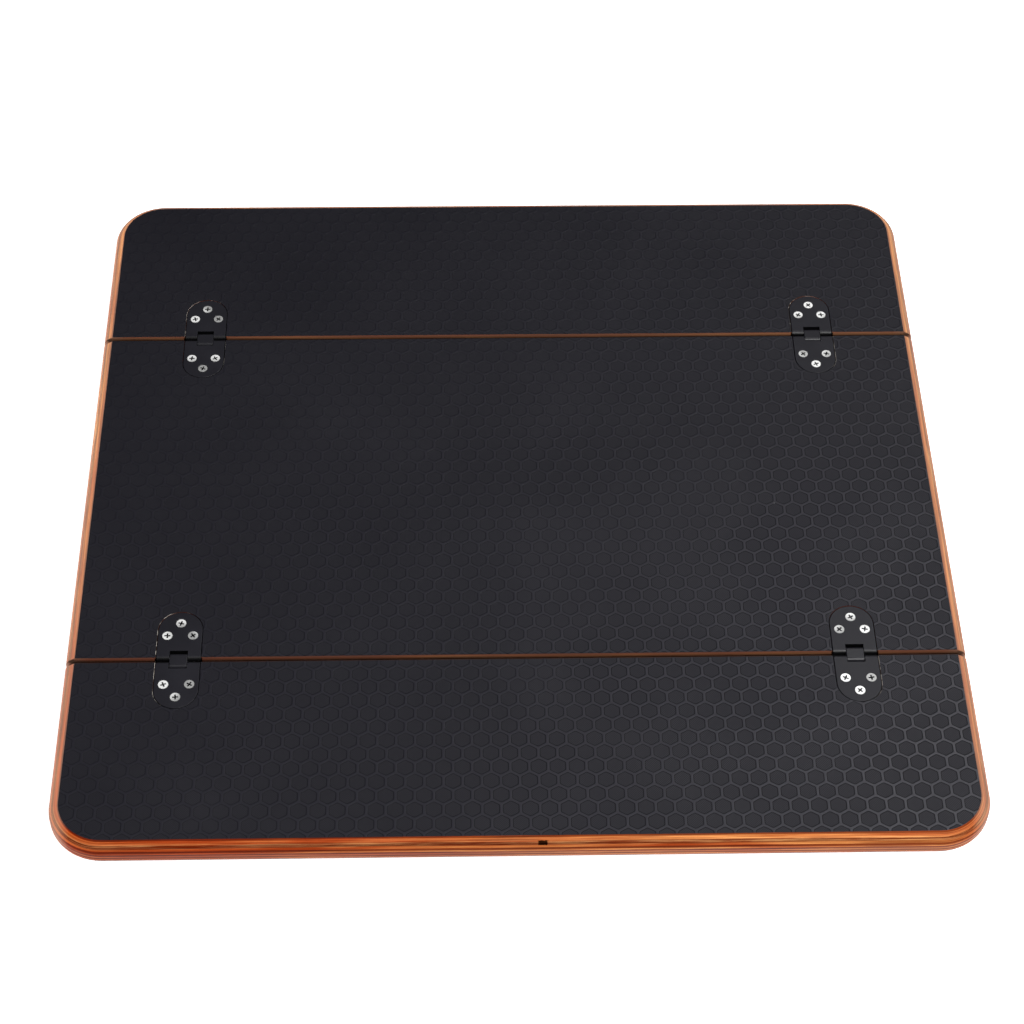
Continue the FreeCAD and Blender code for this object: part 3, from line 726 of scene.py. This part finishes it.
def add_camera():
    """The camera, in front of the board and above it."""
    camera = bpy.data.objects.new("camera", bpy.data.cameras.new("camera"))
    bpy.context.scene.collection.objects.link(camera)
    camera.data.lens = CAMERA_LENS
    turn, rise = math.radians(CAMERA_AZIMUTH), math.radians(CAMERA_ELEVATION)
    back = Vector((-math.sin(turn) * math.cos(rise), -math.cos(turn) * math.cos(rise),
                   math.sin(rise)))
    aim(camera, CAMERA_TARGET + CAMERA_DISTANCE * back, CAMERA_TARGET)
    roll = Matrix.Rotation(math.radians(CAMERA_ROLL), 4, "Z").to_quaternion()
    camera.rotation_quaternion = camera.rotation_quaternion @ roll
    bpy.context.scene.camera = camera


def add_softbox(name, location, size, power, mirrored=True):
    """A square lamp that faces the board, and may be kept out of its reflections."""
    lamp = bpy.data.lights.new(name, "AREA")
    lamp.size = size
    lamp.energy = power
    holder = bpy.data.objects.new(name, lamp)
    bpy.context.scene.collection.objects.link(holder)
    holder.visible_glossy = mirrored
    aim(holder, Vector(location), Vector((0, 0, 0)))


def add_floor():
    """A plain pale floor just under the board. It is clear from below and casts no shadow."""
    shape = bmesh.new()
    bmesh.ops.create_grid(shape, x_segments=8, y_segments=8, size=FLOOR_REACH)
    bmesh.ops.translate(shape, verts=shape.verts, vec=(0, 0, -FLOOR_DROP))
    mesh = bpy.data.meshes.new("floor")
    shape.to_mesh(mesh)
    shape.free()
    floor = object_from(mesh, "floor")
    finish = Finish("floor_finish")
    ray = finish.tree.nodes.new("ShaderNodeLightPath").outputs
    from_below = finish.tree.nodes.new("ShaderNodeNewGeometry").outputs["Backfacing"]
    unseen = finish.math("MAXIMUM", from_below, ray["Is Shadow Ray"])
    mottle = finish.noise(3, detail=2.0)
    floor.data.materials.append(finish.set({
        "Base Color": finish.mix(mottle, (0.86, 0.86, 0.86), (0.90, 0.90, 0.90)),
        "Roughness": 0.9,
        "Specular IOR Level": 0.1,
        "Emission Color": (1.0, 1.0, 1.0),
        "Emission Strength": finish.span(ray["Is Camera Ray"], 0.0, 1.0, 0.3, 0.9),
        "Alpha": finish.inverse(unseen),
    }))


def add_backdrop():
    """A world that is pale where the camera sees it and gives the board only a little light."""
    world = bpy.data.worlds.new("studio")
    world.use_nodes = True
    tree = world.node_tree
    background = tree.nodes["Background"]
    background.inputs["Color"].default_value = (0.98, 0.99, 1.0, 1.0)
    brightness = tree.nodes.new("ShaderNodeMapRange")
    brightness.inputs["To Min"].default_value = 0.06
    brightness.inputs["To Max"].default_value = 0.95
    ray = tree.nodes.new("ShaderNodeLightPath").outputs
    tree.links.new(ray["Is Camera Ray"], brightness.inputs["Value"])
    tree.links.new(brightness.outputs[0], background.inputs["Strength"])
    bpy.context.scene.world = world


def light_studio():
    """A key lamp high in front, one to each side, one behind for sheen and one underneath."""
    add_softbox("front_lamp", (0.7, -1.0, 2.0), 1.0, 58)
    add_softbox("side_lamp", (2.2, 0.1, 1.5), 1.2, 20)
    add_softbox("low_lamp", (-2.2, -0.1, 0.25), 1.1, 66, mirrored=False)
    add_softbox("sheen_lamp", (1.0, 1.0, 2.2), 0.9, 17)
    add_softbox("under_lamp", (0.3, -0.6, -2.0), 1.4, 34)
    bpy.context.scene.view_settings.view_transform = "Standard"


dress_nodes()
for panel_name in PANELS:
    emboss_film(panel_name)
add_floor()
add_backdrop()
light_studio()
add_camera()
